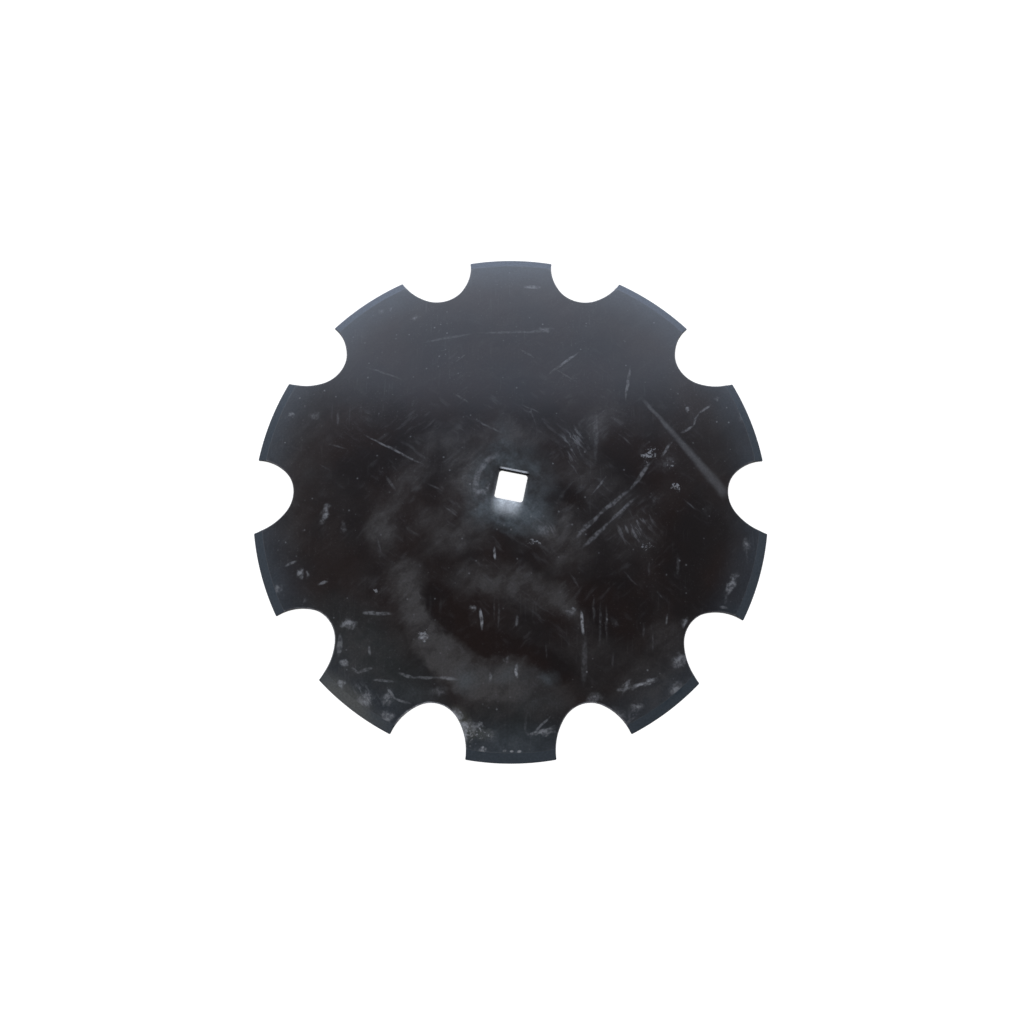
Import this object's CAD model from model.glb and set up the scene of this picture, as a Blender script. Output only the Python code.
import math
from functools import cached_property, reduce

import bpy
from mathutils import Matrix, Vector, geometry, kdtree, noise


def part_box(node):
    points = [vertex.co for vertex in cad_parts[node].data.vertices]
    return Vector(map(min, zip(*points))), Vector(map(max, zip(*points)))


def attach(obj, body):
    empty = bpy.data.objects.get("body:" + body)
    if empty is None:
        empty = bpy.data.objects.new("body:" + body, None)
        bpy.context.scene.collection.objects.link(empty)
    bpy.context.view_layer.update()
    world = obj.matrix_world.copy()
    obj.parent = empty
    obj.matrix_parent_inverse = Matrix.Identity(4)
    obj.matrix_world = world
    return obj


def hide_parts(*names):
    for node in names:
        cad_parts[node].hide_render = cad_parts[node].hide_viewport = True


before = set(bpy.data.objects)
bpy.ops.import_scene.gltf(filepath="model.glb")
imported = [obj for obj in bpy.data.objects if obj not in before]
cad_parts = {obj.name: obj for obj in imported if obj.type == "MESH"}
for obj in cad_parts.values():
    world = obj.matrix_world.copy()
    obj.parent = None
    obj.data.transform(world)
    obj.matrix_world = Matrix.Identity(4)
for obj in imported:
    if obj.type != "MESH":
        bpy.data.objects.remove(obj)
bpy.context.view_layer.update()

# A notched harrow disc blade in worn black paint. It lies with its hollow side down on a pale floor.
# Lengths are in millimetres, and the mesh, the camera and the floor are in metres.
# The disc's axis is Z, and X and Y are the plan directions, with two opposite teeth on the Y axis.

METRE = 0.001  # of a millimetre

# The blade's form, as the source of the part has it
_, blade_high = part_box("disc_blade")
RIM_RADIUS = blade_high.y / METRE - 0.005  # clear of rounding errors
SEAT_TOP = blade_high.z / METRE
PLATE = 6.0
NOMINAL_RIM = 280.0
DISH_DEPTH = SEAT_TOP - PLATE
SEAT_RADIUS = 42.0
KNUCKLE_RADIUS = 200.0
BEVEL_WIDTH = 11.0
EDGE_LAND = 1.5
NOTCH_COUNT = 10
LAST_NOTCH_LAG = math.radians(1.0)
NOTCH_DEPTH = 48.0
NOSE_RADIUS = 31.5
NOSE_ANGLE = math.radians(41.0)  # that the nose turns through on each side of the notch's centre line
FLANK_RADIUS = 60.0
TOOTH_CORNER = 1.2  # small round on the corners of the teeth, in plan
HOLE_HALF = 15.0
HOLE_CORNER = 3.0
HOLE_TURN = math.radians(-11.5)
DRAW_IN_DEPTH = 1.6
SEAT_LAND = 1.5

SPHERE_CENTRE = (SEAT_RADIUS**2 + DISH_DEPTH**2 - NOMINAL_RIM**2) / (2 * DISH_DEPTH)
SPHERE_RADIUS = math.hypot(NOMINAL_RIM, SPHERE_CENTRE)
KNUCKLE_CENTRE = DISH_DEPTH - KNUCKLE_RADIUS
CENTRE_DISTANCE = SPHERE_RADIUS - KNUCKLE_RADIUS
FLAT_RADIUS = math.sqrt(CENTRE_DISTANCE**2 - (KNUCKLE_CENTRE - SPHERE_CENTRE) ** 2)
BEVEL_START = NOMINAL_RIM - BEVEL_WIDTH
DRAW_IN_WIDTH = FLAT_RADIUS - SEAT_LAND - ((HOLE_HALF - HOLE_CORNER) * math.sqrt(2) + HOLE_CORNER)
ROLL_RADIUS = (DRAW_IN_WIDTH**2 + DRAW_IN_DEPTH**2) / (2 * DRAW_IN_DEPTH)

# The notch whose centre line is +X. Each flank is struck from a point across the centre line.
NOSE_X = NOMINAL_RIM - NOTCH_DEPTH + NOSE_RADIUS
FLANK_X = NOSE_X + (FLANK_RADIUS - NOSE_RADIUS) * math.cos(NOSE_ANGLE)
FLANK_Y = -(FLANK_RADIUS - NOSE_RADIUS) * math.sin(NOSE_ANGLE)
NOTCH_TURNS = [2 * math.pi * k / NOTCH_COUNT for k in range(NOTCH_COUNT)]
NOTCH_TURNS[-1] -= LAST_NOTCH_LAG

# The mesh
CONVEX_GRID = 3.6  # spacing of the convex side's points
CONCAVE_GRID = 5.0
OUTLINE_STEP = 2.4  # spacing of points along the outline
CORNER_STEP = math.radians(16)  # of the small rounds on the teeth's corners
HOLE_STEP = 1.5
HOLE_CORNER_STEP = math.radians(12)
ROUND_SHARE = 0.135  # radius of the edges' rounding, as a share of the plate's thickness there
WAVE_HEIGHT = 0.16  # how far the pressed plate strays from a true sphere
WAVE_START, WAVE_END = (40, 95), (225, 268)  # distances from the axis over which that comes and goes
BROAD_WAVE, NARROW_WAVE = 95, 38  # lengths of the waves
BEVEL_SOFT = 0.7  # half the width over which the plate turns into the bevel
KNUCKLE_SOFT = 3.0  # distance between the two rings of points where the knuckle starts
RING_GAP = 2.0  # from an edge to the end of a ring
EDGE_GAP = 0.5  # from an edge to the nearest place that counts as metal
NET_GAP = 0.8  # from an edge to the net of points, besides the share of its grid
NET_SHARE = 0.45  # of the grid's spacing, kept free beside edges and rings
CDT_MARGIN = 1e-5  # points of the net that are nearer than this become one

# The camera looks down on the blade, a little from the -Y side.
CAMERA_PLACE = Vector((-0.0021, -0.2189, 0.9431))
CAMERA_TARGET = Vector((0.0012, -0.0163, 0.0))
CAMERA_LENS = 31.21
CAMERA_SENSOR = 36.0


# ---------------------------------------------------------------- form of the blade


def smooth(value, start, end):
    """0 before start, 1 after end, and a soft step between them."""
    share = min(max((value - start) / (end - start), 0.0), 1.0)
    return share * share * (3 - 2 * share)


def side_height(distance, offset):
    """Height of one side of the dish at a distance from the axis. The convex side is offset by PLATE."""
    tangent_point = FLAT_RADIUS * (SPHERE_RADIUS + offset) / CENTRE_DISTANCE
    if distance < FLAT_RADIUS:
        return DISH_DEPTH + offset
    if distance < tangent_point:
        return KNUCKLE_CENTRE + math.sqrt((KNUCKLE_RADIUS + offset) ** 2 - (distance - FLAT_RADIUS) ** 2)
    return SPHERE_CENTRE + math.sqrt((SPHERE_RADIUS + offset) ** 2 - distance**2)


def hole_distance(x, y):
    """Distance in plan from the edge of the axle hole, positive in the metal."""
    turn_x = abs(x * math.cos(HOLE_TURN) + y * math.sin(HOLE_TURN)) - (HOLE_HALF - HOLE_CORNER)
    turn_y = abs(y * math.cos(HOLE_TURN) - x * math.sin(HOLE_TURN)) - (HOLE_HALF - HOLE_CORNER)
    outside = math.hypot(max(turn_x, 0.0), max(turn_y, 0.0))
    return outside + min(max(turn_x, turn_y), 0.0) - HOLE_CORNER


def wave(x, y):
    """Slow unevenness of the pressed plate. It dies out at the flat centre and at the rim."""
    distance = math.hypot(x, y)
    window = smooth(distance, *WAVE_START) * (1 - smooth(distance, *WAVE_END))
    broad = noise.noise(Vector((x / BROAD_WAVE, y / BROAD_WAVE, 3.1)))
    narrow = noise.noise(Vector((x / NARROW_WAVE, y / NARROW_WAVE, 8.7)))
    return WAVE_HEIGHT * window * (broad + 0.3 * narrow)


def concave_height(x, y):
    return side_height(math.hypot(x, y), 0.0) + wave(x, y)


def convex_height(x, y):
    """Height of the convex side, with the bevel at the rim and the strip drawn down round the hole."""
    distance = math.hypot(x, y)
    if distance > BEVEL_START:
        start = side_height(BEVEL_START, PLATE)
        return start + (distance - BEVEL_START) / BEVEL_WIDTH * (EDGE_LAND - start)
    height = side_height(distance, PLATE) + wave(x, y)
    from_roll_end = DRAW_IN_WIDTH - hole_distance(x, y) if distance < 2 * FLAT_RADIUS else 0.0
    if from_roll_end > 0:
        height -= ROLL_RADIUS - math.sqrt(ROLL_RADIUS**2 - from_roll_end**2)
    return height


def edge_round(x, y):
    """Radius of the rounding where the convex side meets a cut edge: smaller where the bevel is thin."""
    return ROUND_SHARE * max(convex_height(x, y) - concave_height(x, y), 1.0)


# ---------------------------------------------------------------- plan outlines


def along(start, end, step):
    """Numbers from start up to, but not at, end, about a step apart."""
    count = max(1, round(abs(end - start) / step))
    return [start + (end - start) * k / count for k in range(count)]


def half_notch():
    """Outline of the notch on +X, from the bottom of its nose to the rim on its +Y side.

    Each entry is a point and the direction into the metal.
    """
    made = []

    def arc(centre, radius, start, end, step, inward=1):
        for angle in along(start, end, step):
            out = Vector((math.cos(angle), math.sin(angle)))
            made.append((centre + out * radius, out * inward))

    flank_centre = Vector((FLANK_X, FLANK_Y))
    # The tooth's corner is a round that touches the flank and the rim from inside the metal.
    to_flank, to_axis = FLANK_RADIUS + TOOTH_CORNER, RIM_RADIUS - TOOTH_CORNER
    apart = flank_centre.length
    inner_angle = math.acos((to_axis**2 + apart**2 - to_flank**2) / (2 * to_axis * apart))
    rim_angle = inner_angle + math.atan2(FLANK_Y, FLANK_X)
    corner_centre = Vector((math.cos(rim_angle), math.sin(rim_angle))) * to_axis
    from_flank = corner_centre - flank_centre
    flank_angle = math.atan2(from_flank.y, from_flank.x)
    arc(Vector((NOSE_X, 0)), NOSE_RADIUS, math.pi, math.pi - NOSE_ANGLE, OUTLINE_STEP / NOSE_RADIUS)
    arc(flank_centre, FLANK_RADIUS, math.pi - NOSE_ANGLE, flank_angle, OUTLINE_STEP / FLANK_RADIUS)
    arc(corner_centre, TOOTH_CORNER, flank_angle - math.pi, rim_angle, CORNER_STEP, -1)
    rim_way = Vector((math.cos(rim_angle), math.sin(rim_angle)))
    made.append((rim_way * RIM_RADIUS, -rim_way))
    return made, rim_angle


def blade_outline():
    """The whole outline, anticlockwise, as points and directions into the metal."""
    half, rim_angle = half_notch()
    mirrored = [tuple(Vector((v.x, -v.y)) for v in pair) for pair in reversed(half[1:])]
    made = []
    following = NOTCH_TURNS[1:] + [NOTCH_TURNS[0] + 2 * math.pi]
    for turn, next_turn in zip(NOTCH_TURNS, following):
        cos, sin = math.cos(turn), math.sin(turn)
        for pair in mirrored + half:
            made.append(tuple(Vector((v.x * cos - v.y * sin, v.x * sin + v.y * cos)) for v in pair))
        for angle in along(turn + rim_angle, next_turn - rim_angle, OUTLINE_STEP / RIM_RADIUS)[1:]:
            out = Vector((math.cos(angle), math.sin(angle)))
            made.append((out * RIM_RADIUS, -out))
    return made


def hole_outline():
    """The axle hole's outline, clockwise, as points and directions into the metal."""
    straight = HOLE_HALF - HOLE_CORNER
    made = []
    for quarter in range(4):
        turn = quarter * math.pi / 2 + HOLE_TURN
        cos, sin = math.cos(turn), math.sin(turn)
        side = [(HOLE_HALF, y, 1.0, 0.0) for y in along(-straight, straight, HOLE_STEP)]
        corner = []
        for angle in along(0, math.pi / 2, HOLE_CORNER_STEP):
            out_x, out_y = math.cos(angle), math.sin(angle)
            corner.append((straight + HOLE_CORNER * out_x, straight + HOLE_CORNER * out_y, out_x, out_y))
        for x, y, out_x, out_y in side + corner:
            point = Vector((x * cos - y * sin, x * sin + y * cos))
            made.append((point, Vector((out_x * cos - out_y * sin, out_x * sin + out_y * cos))))
    made.reverse()
    return made


# ---------------------------------------------------------------- the mesh


class Shell:
    """Vertices, faces and a value per vertex for one closed mesh, gathered piece by piece."""

    def __init__(self):
        self.points, self.edge_distances, self.faces, self.finishes = [], [], [], []

    def add(self, x, y, z, edge_distance):
        self.points.append((x * METRE, y * METRE, z * METRE))
        self.edge_distances.append(edge_distance)
        return len(self.points) - 1

    def face(self, corners, finish):
        self.faces.append(corners)
        self.finishes.append(finish)

    def band(self, lower, upper, finish):
        """Joins two closed loops of equal length. Seen from outside, the outline runs left to right."""
        for k in range(len(lower)):
            after = (k + 1) % len(lower)
            self.face((lower[k], lower[after], upper[after], upper[k]), finish)


CONVEX, CONCAVE, CUT = 0, 1, 2  # the order of the blade's materials
ROUND_STEPS = 4  # rows of faces round the edge on the convex side
LOW_STEPS = 2  # and on the concave side
LOW_ROUND = 0.35  # radius of the concave side's edges, over that of the convex side's
WALL_LEVELS = 3
SUPPORT = 0.3  # first row of faces inside the rounded edge


def edge_loops(shell, outline):
    """Rounded edges and wall along an outline. Returns the loops where the two sides start."""
    levels = []
    for step in range(LOW_STEPS, -1, -1):  # from the concave side to the wall
        levels.append(("low", step / LOW_STEPS * math.pi / 2))
    for level in range(1, WALL_LEVELS):
        levels.append(("wall", level / WALL_LEVELS))
    for step in range(ROUND_STEPS + 1):
        levels.append(("high", step / ROUND_STEPS * math.pi / 2))
    loops = []
    for kind, amount in levels:
        loop = []
        for point, into in outline:
            radius = edge_round(*point)
            low_radius = radius * LOW_ROUND
            if kind == "wall":
                low_end = concave_height(*point) + low_radius
                high_end = convex_height(*point) - radius
                loop.append(shell.add(*point, low_end + (high_end - low_end) * amount, 0.0))
                continue
            size = radius if kind == "high" else low_radius
            inset = size * (1 - math.cos(amount))
            drop = size * (1 - math.sin(amount))
            x, y = point + into * inset
            z = convex_height(x, y) - drop if kind == "high" else concave_height(x, y) + drop
            loop.append(shell.add(x, y, z, inset))
        loops.append(loop)
    low, high = [], []
    for point, into in outline:
        radius = edge_round(*point)
        x, y = point + into * (radius + SUPPORT)
        high.append(shell.add(x, y, convex_height(x, y), radius + SUPPORT))
        low_inset = radius * LOW_ROUND + SUPPORT
        x, y = point + into * low_inset
        low.append(shell.add(x, y, concave_height(x, y), low_inset))
    loops = [low] + loops + [high]
    first_convex = len(loops) - 2 - ROUND_STEPS // 2  # halfway up the rounding
    for k in range(len(loops) - 1):
        finish = CONVEX if k >= first_convex else CUT if k > 0 else CONCAVE
        shell.band(loops[k], loops[k + 1], finish)
    return low, high


def fill_side(shell, loops, height, grid, rings, finish, nearest_edge):
    """Fills one side between its loops with an even net of triangles at the given height."""
    flat, source, edges, faces = [], [], [], []
    for loop in loops:
        first = len(flat)
        for index in loop:
            x, y, _ = shell.points[index]
            flat.append(Vector((x / METRE, y / METRE)))
            source.append(index)
        faces.append(list(range(first, len(flat)))[:: -1 if faces else 1])  # the hole runs clockwise
    for radius, spacing in rings:
        count = round(2 * math.pi * radius / spacing)
        first, inside = len(flat), []
        for k in range(count):
            angle = 2 * math.pi * k / count
            point = Vector((radius * math.cos(angle), radius * math.sin(angle)))
            if nearest_edge(point) > RING_GAP and in_metal(point):
                inside.append(k)
                flat.append(point)
                source.append(None)
        for place, k in enumerate(inside[:-1]):
            if inside[place + 1] == k + 1:
                edges.append((first + place, first + place + 1))
    row_height = grid * math.sqrt(0.75)
    rows = int(RIM_RADIUS / row_height) + 1
    columns = int(RIM_RADIUS / grid) + 1
    ring_radii = [radius for radius, _ in rings]
    for row in range(-rows, rows + 1):
        for column in range(-columns, columns + 1):
            point = Vector(((column + 0.5 * (row % 2)) * grid, row * row_height))
            distance = point.length
            if distance > RIM_RADIUS - 1 or not in_metal(point):
                continue
            if any(abs(distance - radius) < NET_SHARE * grid for radius in ring_radii):
                continue
            if nearest_edge(point) > NET_SHARE * grid + NET_GAP:
                flat.append(point)
                source.append(None)
    filled = geometry.delaunay_2d_cdt(flat, edges, faces, 0, CDT_MARGIN, True)
    verts, _, triangles, verts_from, _, faces_from = filled
    made = []
    for vert, origins in zip(verts, verts_from):
        kept = next((source[o] for o in origins if source[o] is not None), None)
        if kept is None:
            kept = shell.add(vert.x, vert.y, height(vert.x, vert.y), nearest_edge(vert))
        made.append(kept)
    for triangle, origins in zip(triangles, faces_from):
        if 0 in origins and 1 not in origins:
            corners = [made[k] for k in triangle]
            shell.face(corners if finish == CONVEX else corners[::-1], finish)


def in_metal(point):
    """Whether a point in plan is outside the hole and the notches."""
    if hole_distance(*point) < EDGE_GAP:
        return False
    angle = math.atan2(point.y, point.x)
    # Turned so that the nearest notch's centre line is +X, and folded over that line
    along_notch, across_notch = max(
        (math.cos(angle - turn), abs(math.sin(angle - turn))) for turn in NOTCH_TURNS
    )
    x, y = point.length * along_notch, point.length * across_notch
    if math.hypot(x - NOSE_X, y) < NOSE_RADIUS + EDGE_GAP:
        return False
    beside_flank = y > (NOSE_X - x) * math.tan(NOSE_ANGLE)
    return not (beside_flank and math.hypot(x - FLANK_X, y - FLANK_Y) < FLANK_RADIUS + EDGE_GAP)


def make_blade():
    """The whole blade as one closed mesh."""
    shell = Shell()
    outer, inner = blade_outline(), hole_outline()
    tree = kdtree.KDTree(2 * (len(outer) + len(inner)))
    for outline in (outer, inner):
        for (point, _), (following, _) in zip(outline, outline[1:] + outline[:1]):
            tree.insert(point.to_3d(), 0)
            tree.insert(((point + following) / 2).to_3d(), 0)
    tree.balance()

    def nearest_edge(point):
        return tree.find((point[0], point[1], 0))[2]

    outer_low, outer_high = edge_loops(shell, outer)
    inner_low, inner_high = edge_loops(shell, inner)
    bevel_rings = [(BEVEL_START + step, 2.0) for step in (-BEVEL_SOFT, 0.0, BEVEL_SOFT)]
    knuckle_rings = [(FLAT_RADIUS, 2.5), (FLAT_RADIUS + KNUCKLE_SOFT, 2.7)]
    fill_side(
        shell,
        [outer_high, inner_high],
        convex_height,
        CONVEX_GRID,
        knuckle_rings + bevel_rings,
        CONVEX,
        nearest_edge,
    )
    fill_side(
        shell,
        [outer_low, inner_low],
        concave_height,
        CONCAVE_GRID,
        knuckle_rings,
        CONCAVE,
        nearest_edge,
    )
    mesh = bpy.data.meshes.new("blade")
    mesh.from_pydata(shell.points, [], shell.faces)
    mesh.polygons.foreach_set("material_index", shell.finishes)
    mesh.polygons.foreach_set("use_smooth", [True] * len(shell.faces))
    layer = mesh.attributes.new("edge_distance", "FLOAT", "POINT")
    layer.data.foreach_set("value", shell.edge_distances)
    mesh.validate()
    mesh.update()
    blade = bpy.data.objects.new("blade", mesh)
    bpy.context.scene.collection.objects.link(blade)
    return blade


# ---------------------------------------------------------------- shader nodes


class Nodes:
    """Short calls that make and join the nodes of one shader tree."""

    def __init__(self, tree):
        self.tree = tree

    def node(self, kind, inputs=None, **settings):
        made = self.tree.nodes.new(kind)
        for name, value in settings.items():
            setattr(made, name, value)
        for name, value in (inputs or {}).items():
            self.put(made.inputs[name], value)
        return made

    def put(self, socket, value):
        if isinstance(value, bpy.types.NodeSocket):
            self.tree.links.new(value, socket)
        elif value is not None:
            socket.default_value = value

    def math(self, operation, *values, clamp=False):
        made = self.node("ShaderNodeMath", operation=operation, use_clamp=clamp)
        for socket, value in zip(made.inputs, values):
            self.put(socket, value)
        return made.outputs[0]

    def product(self, *factors):
        return reduce(lambda total, factor: self.math("MULTIPLY", total, factor), factors)

    def total(self, *values):
        return reduce(lambda total, value: self.math("ADD", total, value), values)

    def vector(self, operation, *values):
        made = self.node("ShaderNodeVectorMath", operation=operation)
        for socket, value in zip(made.inputs, values):
            self.put(socket, value)
        return made.outputs["Vector"]

    def parts(self, vector):
        """The three numbers of a vector, by the names X, Y and Z."""
        return self.node("ShaderNodeSeparateXYZ", {"Vector": vector}).outputs

    def mapped(self, vector, x=0.0, y=0.0, angle=0.0, length=1.0, width=1.0):
        """The vector seen from a place x, y, turned by an angle in radians, in units of length and width."""
        inputs = {"Location": (x, y, 0), "Rotation": (0, 0, angle), "Scale": (length, width, 1)}
        inputs["Vector"] = vector
        return self.node("ShaderNodeMapping", inputs, vector_type="TEXTURE").outputs["Vector"]

    def step(self, value, start, end, low=0.0, high=1.0):
        """A soft step of a value from low at start to high at end."""
        made = self.node("ShaderNodeMapRange", interpolation_type="SMOOTHSTEP")
        names = ("Value", "From Min", "From Max", "To Min", "To Max")
        for name, given in zip(names, (value, start, end, low, high)):
            self.put(made.inputs[name], given)
        return made.outputs["Result"]

    def steps(self, value, rows):
        """Several soft steps on one value. Rows are the start, the end and what is gained between them."""
        return self.total(*(self.step(value, start, end, 0.0, gain) for start, end, gain in rows))

    def noise(self, vector, scale, detail=3.0, roughness=0.5):
        inputs = {"Vector": vector, "Scale": scale, "Detail": detail, "Roughness": roughness}
        return self.node("ShaderNodeTexNoise", inputs).outputs["Fac"]

    def blend(self, factor, first, second):
        """Mixes two colours."""
        made = self.node("ShaderNodeMix", data_type="RGBA")
        self.put(made.inputs["Factor"], factor)
        self.put([s for s in made.inputs if s.name == "A" and s.type == "RGBA"][0], first)
        self.put([s for s in made.inputs if s.name == "B" and s.type == "RGBA"][0], second)
        return [s for s in made.outputs if s.type == "RGBA"][0]

    def layers(self, base, rows):
        """Colours laid over a base one after another. Rows are how much of the colour, and the colour."""
        return reduce(lambda below, row: self.blend(row[0], below, row[1]), rows, base)


# ---------------------------------------------------------------- stage

FLOOR_HALF = 30.0  # metres, so that its edge is the horizon in every view
FLOOR_COLOUR = (0.25, 0.25, 0.25, 1)
FLOOR_GLOW = (1.0, 1.0, 1.0, 1)  # keeps the floor white, with no shadow

LOW_LIGHT = (0.93, 0.97, 1.05, 1)
LOW_LIGHT_STEPS = ((50, 66, 0.8), (62, 82, 1.6))  # over degrees from the zenith
PANEL_LIGHT = (0.79, 0.92, 1.17, 1)
PANEL_STEPS = ((0.520, 0.540, 2.6), (0.580, 0.630, -1.45), (0.68, 0.93, 0.6))  # over the way's Y
PANEL_BOW = -0.15  # lifts the panel's lower edge towards the sides
OVERHEAD_LIGHT = (1.0, 0.94, 0.90, 1)
OVERHEAD_STRENGTH = 0.03


def make_camera():
    data = bpy.data.cameras.new("camera")
    data.lens = CAMERA_LENS
    data.sensor_width = CAMERA_SENSOR
    camera = bpy.data.objects.new("camera", data)
    camera.location = CAMERA_PLACE
    ahead = (CAMERA_TARGET - CAMERA_PLACE).normalized()
    right = ahead.cross(Vector((0, 1, 0))).normalized()
    camera.rotation_mode = "QUATERNION"
    camera.rotation_quaternion = Matrix((right, right.cross(ahead), -ahead)).transposed().to_quaternion()
    bpy.context.scene.collection.objects.link(camera)
    bpy.context.scene.camera = camera


def make_floor():
    data = bpy.data.meshes.new("floor")
    corners = [(x * FLOOR_HALF, y * FLOOR_HALF, 0) for x, y in ((-1, -1), (1, -1), (1, 1), (-1, 1))]
    data.from_pydata(corners, [], [(0, 1, 2, 3)])
    floor = bpy.data.objects.new("floor", data)
    bpy.context.scene.collection.objects.link(floor)
    material = bpy.data.materials.new("pale_floor")
    material.use_nodes = True
    shader = material.node_tree.nodes["Principled BSDF"]
    shader.inputs["Base Color"].default_value = FLOOR_COLOUR
    shader.inputs["Roughness"].default_value = 0.9
    shader.inputs["Specular IOR Level"].default_value = 0.0
    shader.inputs["Emission Color"].default_value = FLOOR_GLOW
    shader.inputs["Emission Strength"].default_value = 1.0
    data.materials.append(material)


def make_light():
    """Soft studio light from a dome: a wide panel behind the blade, dark overhead, pale all round low down.

    The panel is brightest along its lower edge, which is what gives its mirror image in the paint an edge.
    """
    world = bpy.data.worlds.new("studio")
    world.use_nodes = True
    bpy.context.scene.world = world
    world.node_tree.nodes.clear()
    n = Nodes(world.node_tree)
    way = n.parts(n.node("ShaderNodeTexCoord").outputs["Generated"])
    right, behind, up = way["X"], way["Y"], way["Z"]
    from_zenith = n.math("ARCCOSINE", up)
    low_steps = [(math.radians(start), math.radians(end), gain) for start, end, gain in LOW_LIGHT_STEPS]
    low_ring = n.product(n.steps(from_zenith, low_steps), n.step(right, 0.1, 0.8, 1.0, 0.72))
    bowed = n.math("MULTIPLY_ADD", n.math("MULTIPLY", right, right), PANEL_BOW, behind)
    panel = n.product(n.steps(bowed, PANEL_STEPS), n.step(up, -0.02, 0.04))
    total = None
    for colour, strength in (
        (LOW_LIGHT, low_ring),
        (PANEL_LIGHT, panel),
        (OVERHEAD_LIGHT, OVERHEAD_STRENGTH),
    ):
        light = n.node("ShaderNodeBackground", {"Color": colour, "Strength": strength}).outputs[0]
        total = light if total is None else n.node("ShaderNodeAddShader", {0: total, 1: light}).outputs[0]
    n.node("ShaderNodeOutputWorld", {"Surface": total})
    bpy.context.scene.view_settings.view_transform = "Standard"


# ---------------------------------------------------------------- wear on the convex side

# Rows are x, y of the start, x, y of the end and the width, all in millimetres in plan.
FAINT_SCRATCHES = [
    (-161, 141, -116, 121, 2.2), (-100, 165, -40, 176, 3.0), (-40, 176, 45, 178, 3.0),
    (-60, 103, -45, 91, 2.5), (-42, 74, -6, 55, 2.2), (-130, 12, -119, -5, 3.0), (10, 155, 24, 145, 2.5),
    (10, 89, 32, 79, 1.6), (19, 87, 27, 64, 1.6), (90, 85, 88, 25, 5.0), (-138, -52, -134, -68, 2.0),
    (-12, -115, -13, -150, 2.0), (-16, -112, -17, -140, 1.6), (173, -67, 173, -92, 3.5),
    (142, -76, 142, -90, 2.5), (59, -90, 70, -105, 2.2), (115, -87, 130, -102, 2.0),
    (150, -107, 156, -114, 2.0), (91, -115, 90, -165, 2.8), (97, -120, 97, -160, 2.4),
    (84, -112, 84, -140, 2.6), (75, -150, 74, -203, 6.0), (104, -170, 103, -184, 2.5),
    (136, -138, 136, -156, 2.2), (145, -145, 145, -170, 2.0), (250, -58, 250, -76, 2.0),
    (226, -108, 223, -120, 2.5), (15, -232, 15, -248, 3.0), (120, -224, 121, -237, 3.0),
    (-186, 88, -186, 72, 3.0), (46, 132, 72, 116, 1.8), (-90, 5, -70, -6, 1.8), (58, 30, 72, 8, 1.6),
    (-196, 52, -172, 44, 1.8), (-70, -20, -52, -34, 1.8), (112, 60, 128, 46, 1.8), (180, -8, 196, -22, 1.8),
    (20, -30, 34, -40, 2.4), (-205, 30, -190, 20, 1.6), (35, -160, 36, -176, 2.0),
    (-60, 140, -48, 150, 2.0),
]
PLAIN_SCRATCHES = [
    (-160, 62, -88, 21, 2.4), (40, 125, 75, 154, 3.0), (130, 140, 122, 97, 3.2), (150, 32, 122, -5, 3.8),
    (124, -2, 87, -32, 4.4), (92, -28, 66, -54, 4.6), (132, -8, 98, -41, 3.8), (102, -37, 72, -65, 4.2),
    (-157, -189, -141, -184, 3.4), (-145, -163, -144, -171, 2.6), (-237, -78, -226, -73, 3.2),
    (-200, -99, -190, -96, 3.0), (6, -180, 6, -194, 3.2), (219, 100, 203, 88, 2.2), (203, 88, 196, 72, 2.4),
    (196, 72, 182, 64, 2.6), (172, 53, 158, 36, 3.0), (-151, -129, -138, -129, 4.2),
    (-142, -130, -121, -130, 3.4), (118, -240, 126, -234, 2.8), (152, -227, 164, -216, 3.0),
    (166, -216, 178, -205, 3.2), (219, -122, 226, -122, 3.0), (-177, -156, -177, -172, 4.4),
    (-142, -196, -118, -198, 2.8), (-114, -190, -98, -194, 3.4), (-98, -194, -74, -194, 3.2),
    (-74, -194, -54, -196, 3.4), (-127, -204, -118, -215, 2.6), (-118, -215, -102, -220, 2.6),
    (-176, -150, -175, -168, 4.2), (-163, -184, -156, -190, 2.6), (15, 239, 33, 239, 4.6),
    (6, -134, 6, -143, 2.6), (22, -250, 41, -231, 2.4), (107, -207, 120, -204, 3.2),
    (124, -202, 137, -199, 3.2), (139, -198, 151, -194, 3.0), (-21, -190, -21, -198, 3.0),
    (100, 12, 84, -8, 2.2), (160, -130, 160, -140, 2.4),
]
BRIGHT_FLECKS = [
    (-30, -133, -29, -146, 3.0), (-17, -64, -16, -77, 2.4), (72, -136, 73, -151, 3.2),
    (-31, -127, -30, -138, 3.2), (71, -129, 72, -140, 3.4), (5, -185, 7, -195, 2.4),
    (-8, -267, -6, -267, 2.6), (0, -267, 2, -267, 2.6), (8, -267, 10, -267, 2.6),
]

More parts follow.
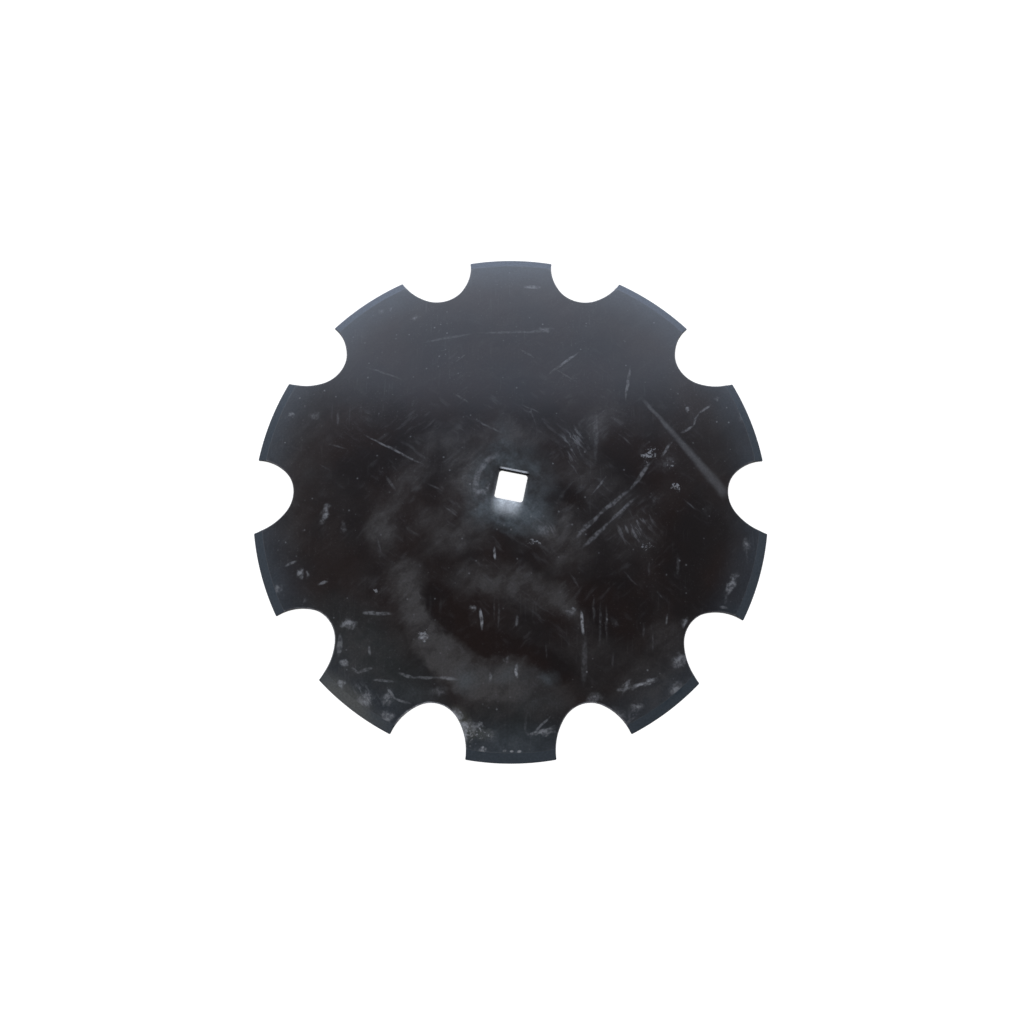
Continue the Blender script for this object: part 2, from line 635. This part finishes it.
# In all tables below, rows are x, y, length, width, the length's angle in degrees, and strength.
# Rubbed spots
SMUDGES = [
    (-107, 199, 9, 7, 0, 0.5), (-146, 212, 7, 6, 0, 0.4), (-135, 212, 7, 6, 0, 0.4),
    (-240, 90, 6, 5, 0, 0.6), (-212, 85, 14, 11, 20, 0.4), (35, 180, 24, 6, 5, 0.4),
    (192, 92, 7, 5, 40, 0.7), (227, 107, 8, 6, 0, 0.4), (254, 89, 14, 6, 70, 0.5),
    (164, 30, 30, 20, 40, 0.30), (66, 47, 38, 20, -60, 0.22), (-195, -25, 22, 9, 70, 0.8),
    (-175, -40, 15, 7, 90, 0.4), (-220, -87, 11, 7, 90, 0.9), (-212, -87, 8, 5, 90, 0.6),
    (-245, -102, 13, 9, 30, 0.6), (-166, -140, 16, 8, 0, 1.3), (-171, -179, 11, 8, 0, 0.9),
    (-90, -154, 12, 8, 30, 0.9), (-150, -215, 22, 15, 30, 0.7), (-126, -215, 16, 12, 60, 0.8),
    (-126, -232, 14, 10, 0, 0.9), (-175, -200, 8, 7, -40, 1.0), (-214, -114, 6, 5, 0, 0.5),
    (-28, -266, 7, 6, 0, 1.0), (-6, -176, 9, 7, 0, 0.5), (150, -12, 14, 9, 40, 0.3),
    (60, -130, 14, 12, 0, 0.35), (107, -140, 9, 7, 0, 0.3), (180, -138, 9, 6, 40, 0.9),
    (174, -176, 20, 13, 35, 0.9), (250, -54, 14, 8, 80, 0.6), (262, -84, 6, 5, 0, 0.8),
    (232, -97, 26, 8, 62, 0.9), (84, -215, 18, 12, 20, 0.7), (129, -224, 14, 10, 20, 0.8),
    (170, -205, 18, 14, 52, 0.8), (112, -230, 22, 9, -35, 0.5), (30, -249, 28, 5, 4, 1.0),
    (38, -245, 14, 4, 12, 0.8), (-38, -126, 9, 4, 0, 0.8), (62, -127, 9, 4, 0, 0.8),
    (-30, -6, 12, 7, 0, 0.8), (-24, -1, 7, 5, 60, 0.6), (130, -45, 38, 22, -60, 0.2),
    (32, -47, 20, 12, -50, 0.35), (-52, -236, 24, 9, -62, 1.8), (-32, -241, 8, 7, 0, 0.9),
    (-47, -250, 14, 8, -75, 1.6), (-39, -243, 16, 10, -60, 0.8), (-20, -252, 16, 16, 0, 0.4),
    (118, -203, 16, 6, 60, 0.8), (136, -200, 30, 5, 16, 0.9), (-64, -165, 10, 6, 0, 0.2),
    (-72, -207, 20, 10, 0, 0.4), (208, -20, 18, 10, 60, 0.2),
]
# Where haze lies, and where the paint is bare of it
HAZE = [
    (-72, 52, 50, 40, 0, 0.4), (-100, 25, 50, 36, 30, 0.35), (95, 72, 56, 36, 60, 0.6),
    (-118, -10, 60, 34, 60, 0.5), (-132, -48, 56, 34, 95, 0.8), (-104, -100, 60, 40, -70, 1.0),
    (-80, -152, 84, 38, -56, 1.5), (-50, -188, 70, 40, -34, 1.5), (58, -50, 50, 60, 0, 0.35),
    (96, 0, 60, 60, 0, 0.35), (-20, -97, 80, 36, 0, 0.9), (-85, -35, 50, 30, 20, 0.6),
    (-66, -60, 50, 34, 0, 0.6), (14, -106, 110, 30, -14, 0.8), (58, -128, 56, 24, -30, 0.7),
    (34, -45, 70, 40, 10, 0.7), (-44, -50, 60, 40, 0, 0.6), (72, 10, 70, 50, 0, 0.35),
    (0, 54, 90, 30, 0, 0.5), (-44, 20, 50, 70, 0, 0.6), (125, -46, 70, 50, -30, 0.35),
    (60, -70, 60, 40, 20, 0.5), (0, -215, 150, 40, 0, 0.5), (-160, -165, 130, 110, 45, 0.40),
    (150, -190, 120, 70, 45, 0.5), (-236, 0, 50, 200, 0, 0.2), (20, -122, 60, 20, -10, 0.3),
    (80, -170, 70, 60, 0, 0.3), (-38, -14, 64, 56, 0, 0.8), (-4, -194, 70, 40, 0, 1.3),
    (-60, -240, 40, 30, -30, 0.6),
]
BARE_OF_HAZE = [
    (20, 95, 56, 40, 0, 0.8), (-67, -130, 62, 28, -52, 1.4), (36, -185, 60, 30, 0, 0.5),
    (130, 30, 70, 60, 0, 0.4), (190, -70, 70, 110, 0, 0.5), (-150, 40, 70, 60, 0, 0.5),
    (105, -125, 70, 60, 0, 0.5), (-50, 100, 90, 40, 0, 0.6), (-18, -162, 70, 26, -20, 0.9),
    (-100, 80, 60, 40, 0, 0.5), (60, -10, 40, 26, 0, 0.4),
]
# Feathery strokes
COMBED = [
    (130, -42, 46, 40, 0, 1.0), (66, 47, 30, 46, 0, 1.0), (34, -45, 26, 18, 0, 0.9),
    (-150, -212, 34, 22, 0, 1.0),
]
# Flaked paint
CHIPPED = [
    (146, 36, 24, 17, 50, 1.0), (174, 4, 12, 9, 20, 1.1), (24, -58, 20, 8, 0, 0.8),
    (140, -62, 14, 8, 0, 0.8), (166, 26, 22, 14, 20, 0.6), (-90, -152, 16, 11, 60, 1.0),
    (-139, -105, 14, 6, -15, 0.8), (44, 24, 5, 5, 0, 0.8), (-28, -266, 7, 5, 0, 1.0),
    (-47, -246, 12, 34, 20, 1.0), (-30, -249, 26, 14, 0, 0.65),
]
# Stretches of the notches' edges that are rubbed bare
CHAFED = [
    (-88, -220, 80, 110, 30, 1.6), (88, -215, 80, 90, -30, 0.8), (-190, -140, 70, 80, 0, 0.6),
]
# Pale veils round the hole and over the lower teeth
VEILED = [
    (-31, 0, 34, 54, 0, 0.6), (-26, -26, 46, 30, 35, 0.65), (8, -30, 66, 40, -12, 1.5),
    (28, 0, 44, 50, 0, 0.6), (0, 28, 66, 40, 0, 0.7), (4, 21, 44, 16, -11, 0.7), (-8, 52, 20, 50, 0, 0.35),
    (-46, -196, 26, 30, 0, 0.55), (-2, -192, 70, 22, 0, 0.35), (-95, -214, 60, 44, 0, 0.3),
    (128, -214, 100, 50, 30, 0.05), (30, -216, 60, 30, 0, 0.25), (0, -262, 120, 40, 0, 0.5),
    (38, -196, 24, 18, 0, 0.6),
]
# Where the paint is less brown
COOL = [
    (-160, -185, 220, 140, -35, 1.8), (0, -250, 190, 90, 0, 1.2), (150, -220, 150, 80, 35, 0.35),
]
# Stains on the bottom tooth, rust on the lower left tooth, and dust along that tooth's rim
OLIVE = [(-50, -240, 46, 26, -62, 1.3), (-30, -250, 34, 16, 0, 0.6)]
RUSTY = [(-168, -217, 26, 12, -40, 1.0)]
DUSTY = [(-172, -216, 130, 44, -37, 1.6)]

WEDGE_START, WEDGE_END = Vector((141, 100)), Vector((229, -3))  # of the broad rub on the upper right
WEDGE_HALF_WIDTHS = (2.2, 6.5)  # at its start and its end
SCUFF_INNER, SCUFF_OUTER = (32, 35), (37, 41)  # radii over which the arc beside the hole comes and goes
SCUFF_START, SCUFF_END = (-0.4, -0.1), (0.9, 1.3)  # angles from -X towards +Y, likewise
FILM_RADII = (225, 276)  # the bluish film thickens between them
RIM_DUST_RADII = (254, 264)

# How much bare metal each kind of mark shows, from 0 to 1
FAINT_RUB = 0.13
PLAIN_RUB = 0.34
FLECK_RUB = 0.9
SMUDGE_RUB = 0.56
WEDGE_RUB = 0.19
SCUFF_RUB = 0.30
COMB_RUB = 0.34
FALL_RUB = 0.045
WIPE_RUB = 0.075
SPECK_RUB = 0.4
DUST_RUB = 0.085
CHIP_RUB = 0.75
CHAFE_RUB = 0.7


# ---------------------------------------------------------------- colours

PAINT_BROWN = (0.0205, 0.0128, 0.0110, 1)
PAINT_BLACK = (0.0160, 0.0120, 0.0115, 1)
PAINT_COOL = (0.0230, 0.0255, 0.0250, 1)
BLUE_FILM = (0.030, 0.037, 0.046, 1)
OLIVE_STAIN = (0.085, 0.084, 0.066, 1)
RUST = (0.125, 0.080, 0.062, 1)
RIM_DUST = (0.085, 0.086, 0.080, 1)
HAZE_GREY = (0.069, 0.062, 0.058, 1)
VEIL_GREY = (0.108, 0.122, 0.127, 1)
WORN_PALE = (0.74, 0.76, 0.76, 1)
RUBBED_GREY = (0.32, 0.32, 0.325, 1)
WORN_LINE = (0.75, 0.76, 0.77, 1)
DEEP_BLACK = (0.004, 0.004, 0.004, 1)
BEVEL_NEAR = (0.028, 0.037, 0.047, 1)
BEVEL_FAR = (0.115, 0.130, 0.155, 1)
BEVEL_DUST = (0.080, 0.081, 0.077, 1)
HOLLOW_PAINT = (0.018, 0.016, 0.0155, 1)
HOLLOW_DUST = (0.052, 0.050, 0.050, 1)
HOLLOW_SCRATCH = (0.20, 0.20, 0.20, 1)
HOLLOW_SEAT = (0.16, 0.155, 0.15, 1)
CUT_BLACK = (0.007, 0.007, 0.007, 1)
CUT_GREY = (0.022, 0.021, 0.020, 1)


# ---------------------------------------------------------------- materials

STROKE_SPREAD = 1.35  # of a stroke's soft edges, over its width
PATCH_SPREAD = 1.3  # of a patch's soft edge, over its length and width
HAZE_EVERYWHERE = 0.10
CONVEX_ROUGHNESS = 0.285  # of clean paint; much below this, the renders' denoising breaks up the haze


def new_paint(name):
    """A new material, its plan and its shader."""
    material = bpy.data.materials.new(name)
    material.use_nodes = True
    return material, Plan(Nodes(material.node_tree)), material.node_tree.nodes["Principled BSDF"]


class Plan:
    """Marks laid out in millimetres in the blade's plan, on one material."""

    def __init__(self, n):
        self.n = n
        self.place = n.node("ShaderNodeTexCoord").outputs["Object"]
        self.flat = n.vector("MULTIPLY", self.place, (1 / METRE, 1 / METRE, 0))
        self.radius = n.node("ShaderNodeVectorMath", {0: self.flat}, operation="LENGTH").outputs["Value"]

    def warped(self, period, reach):
        """The plan position, led astray by a noise of this period by about a fifth of the reach."""
        back = (-reach / 2, -reach / 2, 0)
        start = self.n.vector("MULTIPLY_ADD", self.place, (1 / METRE, 1 / METRE, 0), back)
        astray = self.n.node("ShaderNodeTexNoise", {"Vector": self.flat, "Scale": 1 / period, "Detail": 2.0})
        return self.n.vector("MULTIPLY_ADD", astray.outputs["Color"], (reach, reach, 0), start)

    # Each of these is made when it is first asked for.

    @cached_property
    def fine(self):
        """Plan position for scratches, which waver a little."""
        return self.warped(14, 4)

    @cached_property
    def rough(self):
        """Plan position for broad patches with wandering edges."""
        return self.warped(30, 26)

    @cached_property
    def ragged(self):
        """Plan position for small patches with torn edges."""
        return self.warped(6, 11)

    @cached_property
    def broken(self):
        """Factor that makes a mark come and go along its length."""
        return self.grain(4.5, 0.25, 1.15, 0.36, 0.62)

    def grain(self, period, low, high, start=0.35, end=0.65, detail=4.0, roughness=0.55):
        """A cloudy factor between low and high."""
        return self.n.step(self.n.noise(self.flat, 1 / period, detail, roughness), start, end, low, high)

    def streaks(self, vector, angle, length, width, detail, roughness):
        """A noise drawn out to this length and width, with the length at an angle in degrees."""
        drawn = self.n.mapped(vector, angle=math.radians(angle), length=length, width=width)
        return self.n.noise(drawn, 1.0, detail, roughness)

    def spot(self, vector, x, y, length, width, angle):
        """1 in the middle of an ellipse, falling evenly to 0 at its edge."""
        inputs = {"Vector": self.n.mapped(vector, x, y, angle, length / 2, width / 2)}
        return self.n.node("ShaderNodeTexGradient", inputs, gradient_type="SPHERICAL").outputs["Fac"]

    def strokes(self, vector, rows):
        """Thin marks from the rows' starts to their ends."""
        total = 0.0
        for x, y, end_x, end_y, width in rows:
            width *= STROKE_SPREAD
            length = math.hypot(end_x - x, end_y - y) + width
            angle = math.atan2(end_y - y, end_x - x)
            stroke = self.spot(vector, (x + end_x) / 2, (y + end_y) / 2, length, width, angle)
            total = self.n.math("ADD", stroke, total)
        return self.n.step(total, 0.0, 0.6)

    def patches(self, vector, rows, spread=PATCH_SPREAD):
        """The sum of the rows' soft ellipses."""
        total = 0.0
        for x, y, length, width, angle, strength in rows:
            patch = self.spot(vector, x, y, length * spread, width * spread, math.radians(angle))
            total = self.n.math("MULTIPLY_ADD", patch, strength, total)
        return total


def hazed(plan):
    """Warm grey haze: broad patches with frayed edges, clouded, with soft veins that lie one way."""
    n = plan.n
    frayed = n.vector("ADD", plan.rough, n.vector("SUBTRACT", plan.ragged, plan.flat))
    haze = n.math("SUBTRACT", plan.patches(frayed, HAZE), plan.patches(frayed, BARE_OF_HAZE))
    haze = n.math("MAXIMUM", n.math("ADD", haze, HAZE_EVERYWHERE), 0.0)
    clouds = plan.grain(40, 0.6, 1.2, 0.36, 0.64, 6.0, 0.6)
    veins = n.step(plan.streaks(plan.rough, 44, 26, 11, 5.0, 0.6), 0.34, 0.66, 0.6, 1.4)
    return n.product(haze, clouds, veins)


def wedge_streak(plan):
    """The broad rub on the upper right, which widens towards the notch."""
    n = plan.n
    way = WEDGE_END - WEDGE_START
    along_and_across = n.parts(n.mapped(plan.fine, WEDGE_START.x, WEDGE_START.y, math.atan2(way.y, way.x)))
    reached, aside = along_and_across["X"], along_and_across["Y"]
    half_width = n.step(reached, 0, way.length, *WEDGE_HALF_WIDTHS)
    across = n.step(n.math("DIVIDE", n.math("ABSOLUTE", aside), half_width), 0.25, 1.3, 1, 0)
    return n.product(across, n.step(reached, -4, 12), n.step(reached, 128, 140, 1, 0))


def spool_scuff(plan):
    """Arc that a spool has rubbed on the seat beside the hole."""
    n = plan.n
    plan_parts = n.parts(plan.flat)
    from_left = n.math("ARCTAN2", plan_parts["Y"], n.math("MULTIPLY", plan_parts["X"], -1.0))
    ring = n.product(n.step(plan.radius, *SCUFF_INNER), n.step(plan.radius, *SCUFF_OUTER, 1, 0))
    return n.product(ring, n.step(from_left, *SCUFF_START), n.step(from_left, *SCUFF_END, 1, 0))


def single_marks(plan):
    """Scratches, flecks and smudges that lie where the tables put them."""
    n = plan.n
    smudges = n.step(plan.patches(plan.ragged, SMUDGES), 0.0, 0.8)
    return n.total(
        n.product(plan.strokes(plan.fine, FAINT_SCRATCHES), plan.broken, FAINT_RUB),
        n.product(plan.strokes(plan.fine, PLAIN_SCRATCHES), plan.broken, PLAIN_RUB),
        n.product(plan.strokes(plan.fine, BRIGHT_FLECKS), plan.broken, FLECK_RUB),
        n.product(smudges, plan.grain(3.5, 0.3, 1.2, 0.38, 0.62), SMUDGE_RUB),
        n.product(wedge_streak(plan), plan.grain(14, 0.75, 1.0), WEDGE_RUB),
        n.product(spool_scuff(plan), plan.broken, SCUFF_RUB),
    )


def brushed_marks(plan):
    """Many small strokes that lie one way: feathery ones, ones that run down the plan, and crossed wipes."""
    n = plan.n
    combs = n.step(plan.streaks(plan.fine, -60, 17, 4.0, 4.0, 0.6), 0.50, 0.62)
    combs = n.product(combs, n.step(plan.patches(plan.rough, COMBED), 0.1, 0.8), COMB_RUB)
    falls = n.step(plan.streaks(plan.flat, 0, 2.6, 34, 2.0, 0.5), 0.60, 0.72)
    falls = n.product(falls, plan.grain(60, 0.0, 1.0, 0.45, 0.6), FALL_RUB)
    total = n.total(combs, falls)
    # The wipes fade towards the rim and towards +Y. Each way of wiping has its own regions.
    towards_rim = n.step(plan.radius, 120, 230, 1, 0.3)
    fading = n.product(towards_rim, n.step(n.parts(plan.flat)["Y"], 70, 130, 1, 0.45))
    region = n.noise(plan.flat, 1 / 42, 2.0)
    for angle, start, end in ((42, 0.50, 0.62), (-38, 0.50, 0.38)):
        wipes = n.step(plan.streaks(plan.fine, angle, 20, 4.8, 3.0, 0.55), 0.51, 0.67)
        total = n.total(total, n.product(wipes, n.step(region, start, end), fading, WIPE_RUB))
    return total


def grit(plan):
    """Single bright specks, and fine dust in clouds."""
    n = plan.n
    cells = n.node("ShaderNodeTexVoronoi", {"Vector": plan.flat, "Scale": 1 / 7.0})
    chance = n.node("ShaderNodeSeparateColor", {"Color": cells.outputs["Color"]}).outputs["Red"]
    specks = n.product(n.step(cells.outputs["Distance"], 0.07, 0.19, 1, 0), n.step(chance, 0.62, 0.98))
    specks = n.product(specks, plan.grain(70, 0.15, 1.0, 0.42, 0.58), SPECK_RUB)
    dust = n.step(n.noise(plan.flat, 1 / 2.3, 2.0, 0.6), 0.60, 0.70)
    return n.total(specks, n.product(dust, plan.grain(52, 0.1, 1.0, 0.42, 0.60), DUST_RUB))


def chipped(plan):
    """Paint chipped in small flakes, which crowd in the middle of each place."""
    n = plan.n
    zones = plan.patches(plan.ragged, CHIPPED)
    flakes = n.math("MULTIPLY_ADD", zones, 0.2, n.noise(plan.flat, 1 / 4.2, 4.0, 0.75))
    return n.product(n.step(flakes, 0.63, 0.70), n.step(zones, 0.02, 0.3), CHIP_RUB)


def chafed(plan):
    """Bare metal along the cut edges, mostly at the lower notches."""
    n = plan.n
    from_edge = n.node("ShaderNodeAttribute", attribute_name="edge_distance").outputs["Fac"]
    zones = n.math("ADD", plan.patches(plan.rough, CHAFED), 0.15)
    return n.product(n.step(from_edge, 0.4, 2.0, 1, 0), zones, plan.broken, CHAFE_RUB)


def hole_marks(plan):
    """Marks that follow the sides of the axle hole, measured from its centre.

    A pale worn patch below it, and a bright worn line and a black line on its upper side.
    """
    n = plan.n
    sides = n.parts(n.mapped(plan.flat, angle=HOLE_TURN))
    up, aside = sides["Y"], n.math("ABSOLUTE", sides["X"])
    pale = n.product(
        n.step(up, -37, -16), n.step(up, 0, 10, 1, 0), n.step(aside, 5, 19, 1, 0), plan.grain(8, 0.75, 1.0)
    )
    line = n.product(n.step(up, 16.0, 16.6), n.step(up, 17.6, 18.6, 1, 0), n.step(aside, 12, 16, 1, 0))
    black = n.product(n.step(up, 14, 15), n.step(up, 15.6, 16.2, 1, 0), n.step(aside, 15, 17, 1, 0))
    return pale, line, black


def convex_paint():
    """Thin semi-gloss black paint, rubbed, scratched and hazy with handling."""
    material, plan, shader = new_paint("black_paint_convex")
    n = plan.n
    haze = hazed(plan)
    rub = n.total(single_marks(plan), brushed_marks(plan), chafed(plan), grit(plan), chipped(plan))
    veil = n.math("MINIMUM", n.product(plan.patches(plan.ragged, VEILED), plan.grain(12, 0.5, 1.15)), 1.0)
    worn_patch, worn_line, black_line = hole_marks(plan)
    browner = n.step(n.noise(plan.flat, 1 / 70, 3.0), 0.38, 0.62)
    film = n.product(n.step(plan.radius, *FILM_RADII), plan.grain(40, 0.75, 1.1))
    dusty = plan.patches(plan.rough, DUSTY, 1.0)
    bevel = n.step(plan.radius, BEVEL_START - BEVEL_SOFT, BEVEL_START + BEVEL_SOFT)
    farther = n.step(n.parts(plan.flat)["Y"], 60, 250)
    bevel_paint = n.layers(BEVEL_NEAR, [(farther, BEVEL_FAR), (n.product(dusty, 0.8), BEVEL_DUST)])
    base = n.layers(
        n.blend(browner, PAINT_BROWN, PAINT_BLACK),
        [
            (plan.patches(plan.rough, COOL, 1.0), PAINT_COOL),
            (film, BLUE_FILM),
            (plan.patches(plan.ragged, OLIVE, 1.0), OLIVE_STAIN),
            (plan.patches(plan.ragged, RUSTY, 1.0), RUST),
            (n.product(dusty, n.step(plan.radius, *RIM_DUST_RADII)), RIM_DUST),
            (haze, HAZE_GREY),
            (n.product(veil, 0.9), VEIL_GREY),
            (worn_patch, WORN_PALE),
            (n.math("MULTIPLY", rub, 1.0, clamp=True), RUBBED_GREY),
            (n.product(worn_line, 0.8), WORN_LINE),
            (black_line, DEEP_BLACK),
            (bevel, bevel_paint),
        ],
    )
    mottle = n.step(n.noise(plan.flat, 1 / 2.4, 3.0, 0.7), 0.32, 0.68, 0.85, 1.15)
    mottled = n.node("ShaderNodeVectorMath", {0: base, "Scale": mottle}, operation="SCALE")
    n.put(shader.inputs["Base Color"], mottled.outputs["Vector"])
    roughness = n.total(CONVEX_ROUGHNESS, n.product(haze, 0.12), n.product(rub, 0.5))
    roughness = n.math("ADD", roughness, n.product(bevel, 0.28), clamp=True)
    n.put(shader.inputs["Roughness"], roughness)
    gloss = n.math("SUBTRACT", n.step(bevel, 0, 1, 0.5, 0.12), n.product(black_line, 0.45), clamp=True)
    n.put(shader.inputs["Specular IOR Level"], gloss)
    swell = {"Height": n.noise(plan.flat, 1 / 44, 2.0), "Strength": 0.5, "Distance": 0.0005}
    n.put(shader.inputs["Normal"], n.node("ShaderNodeBump", swell).outputs["Normal"])
    return material


def concave_paint():
    """The same paint on the hollow side, duller, with dust and a rubbed ring where spools bear."""
    material, plan, shader = new_paint("black_paint_concave")
    n = plan.n
    dust = n.product(plan.grain(60, 0.1, 1.0, 0.35, 0.65, 6.0, 0.6), plan.grain(5, 0.5, 1.0))
    scratches = n.step(plan.streaks(plan.warped(30, 10), 40.107, 2.2, 46, 2.0, 0.5), 0.60, 0.70)
    scratches = n.product(scratches, plan.grain(45, 0.0, 1.0, 0.45, 0.6))
    seat = n.product(n.step(plan.radius, 30, 40, 1, 0), plan.grain(10, 0.2, 1.0))
    base = n.layers(
        HOLLOW_PAINT,
        [
            (n.product(dust, 0.7), HOLLOW_DUST),
            (n.product(scratches, 0.3), HOLLOW_SCRATCH),
            (n.product(seat, 0.35), HOLLOW_SEAT),
        ],
    )
    n.put(shader.inputs["Base Color"], base)
    n.put(shader.inputs["Roughness"], n.total(0.30, n.product(dust, 0.25), n.product(seat, 0.1)))
    return material


def cut_paint():
    """Matt black on the punched edges, thin over the grain of the shear, which runs through the plate."""
    material, plan, shader = new_paint("black_paint_cut")
    n = plan.n
    drawn = {"Vector": plan.place, "Scale": (0.0016, 0.0016, 0.012)}
    sheared = n.node("ShaderNodeMapping", drawn, vector_type="TEXTURE").outputs["Vector"]
    grain = n.step(n.noise(sheared, 1.0, 3.0), 0.45, 0.7)
    n.put(shader.inputs["Base Color"], n.blend(n.product(grain, 0.6), CUT_BLACK, CUT_GREY))
    n.put(shader.inputs["Roughness"], n.step(grain, 0.0, 1.0, 0.75, 0.6))
    shader.inputs["Specular IOR Level"].default_value = 0.15
    return material


make_camera()
make_floor()
make_light()
blade = make_blade()
for paint in (convex_paint(), concave_paint(), cut_paint()):
    blade.data.materials.append(paint)
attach(blade, "root")
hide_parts("disc_blade")
